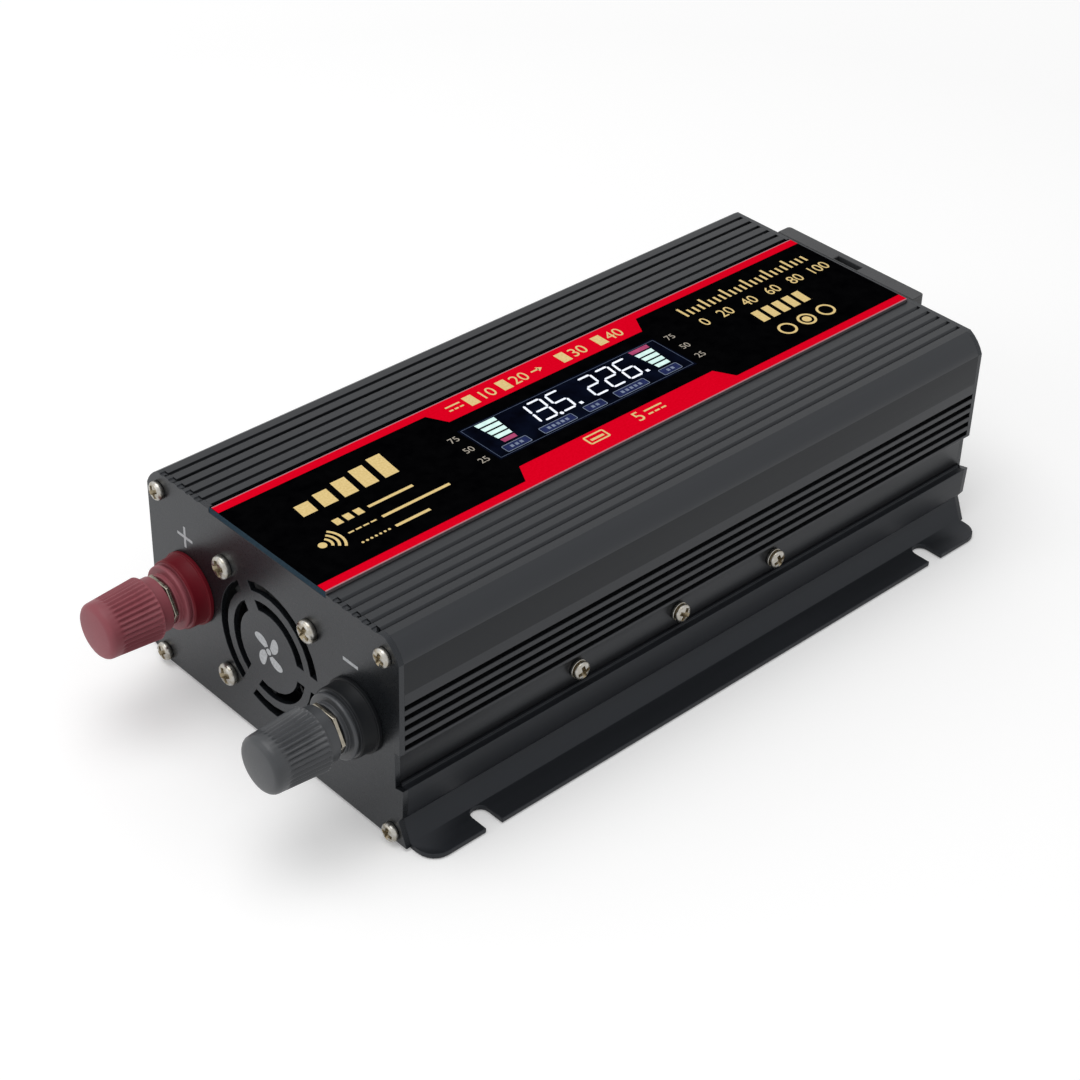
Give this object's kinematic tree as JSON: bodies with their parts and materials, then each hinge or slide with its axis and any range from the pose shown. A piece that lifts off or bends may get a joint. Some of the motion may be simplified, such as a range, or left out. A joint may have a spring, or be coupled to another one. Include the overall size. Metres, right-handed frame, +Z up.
{
  "type": "power inverter",
  "caption": "Portable power inverter: finned aluminium housing with slotted flanges, fan, clamping binding posts, display on top, and an outlet end with socket, switch and USB port.",
  "frame": {"origin": "centre of the housing's flat underside", "axes": "+X from the battery end with the fan and binding posts to the outlet end, +Y to the red binding post's side, +Z up"},
  "size_m": [0.237, 0.1116, 0.0587],
  "materials": {
    "black_anodised": "black anodised, satin",
    "label_print": "glossy printed panel",
    "clear_lens": "dark clear lens",
    "display_glass": "display",
    "black_abs": "satin moulded",
    "fan_plastic": "moulded",
    "nickel_screw": "nickel plated",
    "nickel_brass": "nickel plated",
    "pressed_steel": "tin plated",
    "red_plastic": "moulded, semi-gloss",
    "black_plastic": "moulded, semi-gloss",
    "nylon": "moulded",
    "board": "lacquered laminate",
    "ferrite": "dull",
    "capacitor_sleeve": "shrink sleeve",
    "bare_aluminium": "mill finish",
    "epoxy": "moulded"
  },
  "bodies": {
    "housing": {"upper_cover": "black_anodised", "lower_tray": "black_anodised", "front_plate": "black_anodised", "rear_plate": "black_anodised", "outlet_module": "black_abs", "label_plate": "label_print", "lcd_window": "clear_lens", "lcd_module": "display_glass", "fan_frame": "fan_plastic", "fan_screw_1": "nickel_screw", "fan_screw_2": "nickel_screw", "fan_screw_3": "nickel_screw", "fan_screw_4": "nickel_screw", "front_screw_1": "nickel_screw", "front_screw_2": "nickel_screw", "front_screw_3": "nickel_screw", "front_screw_4": "nickel_screw", "rear_screw_1": "nickel_screw", "rear_screw_2": "nickel_screw", "rear_screw_3": "nickel_screw", "rear_screw_4": "nickel_screw", "side_screw_left_1": "nickel_screw", "side_screw_left_2": "nickel_screw", "side_screw_left_3": "nickel_screw", "side_screw_right_1": "nickel_screw", "side_screw_right_2": "nickel_screw", "side_screw_right_3": "nickel_screw", "red_terminal_base": "red_plastic", "red_terminal_stud": "nickel_brass", "red_terminal_insulator": "nylon", "red_terminal_nut": "nickel_brass", "black_terminal_base": "black_plastic", "black_terminal_stud": "nickel_brass", "black_terminal_insulator": "nylon", "black_terminal_nut": "nickel_brass", "ac_socket": "black_abs", "socket_contact_1": "nickel_brass", "socket_contact_2": "nickel_brass", "socket_contact_3": "nickel_brass", "switch_housing": "black_abs", "usb_shell": "pressed_steel", "usb_tongue": "black_abs", "circuit_board": "board", "transformer_1": "ferrite", "transformer_2": "ferrite", "capacitor_1": "capacitor_sleeve", "capacitor_2": "capacitor_sleeve", "heat_bar_left": "bare_aluminium", "heat_bar_right": "bare_aluminium", "transistor_1": "epoxy", "transistor_2": "epoxy", "transistor_3": "epoxy", "transistor_4": "epoxy"},
    "fan": {"fan_rotor": "fan_plastic"},
    "red_clamp": {"red_terminal_washer": "nickel_brass"},
    "red_knob": {"red_terminal_knob": "red_plastic"},
    "black_clamp": {"black_terminal_washer": "nickel_brass"},
    "black_knob": {"black_terminal_knob": "black_plastic"},
    "rocker": {"switch_rocker": "black_abs"}
  },
  "joints": [
    {"name": "fan_spin", "type": "hinge", "parent": "housing", "child": "fan", "pos_m": [-0.0979, 0.0008, 0.0283], "axis": [1, 0, 0], "continuous": true},
    {"name": "red_clamp_slide", "type": "slide", "parent": "housing", "child": "red_clamp", "axis": [-1, 0, 0], "range_m": [0, 0.005]},
    {"name": "red_knob_turn", "type": "hinge", "parent": "red_clamp", "child": "red_knob", "pos_m": [-0.0994, 0.0313, 0.0298], "axis": [-1, 0, 0], "range_deg": [0, 1440]},
    {"name": "black_clamp_slide", "type": "slide", "parent": "housing", "child": "black_clamp", "axis": [-1, 0, 0], "range_m": [0, 0.005]},
    {"name": "black_knob_turn", "type": "hinge", "parent": "black_clamp", "child": "black_knob", "pos_m": [-0.0994, -0.0313, 0.0298], "axis": [-1, 0, 0], "range_deg": [0, 1440]},
    {"name": "rocker_tilt", "type": "hinge", "parent": "housing", "child": "rocker", "pos_m": [0.1041, 0.0117, 0.01975], "axis": [0, 0, -1], "range_deg": [0, 20]}
  ],
  "couplings": [
    {"joint": "red_clamp_slide", "follows": "red_knob_turn", "m_per_rad": 0.00019894},
    {"joint": "black_clamp_slide", "follows": "black_knob_turn", "m_per_rad": 0.00019894}
  ]
}
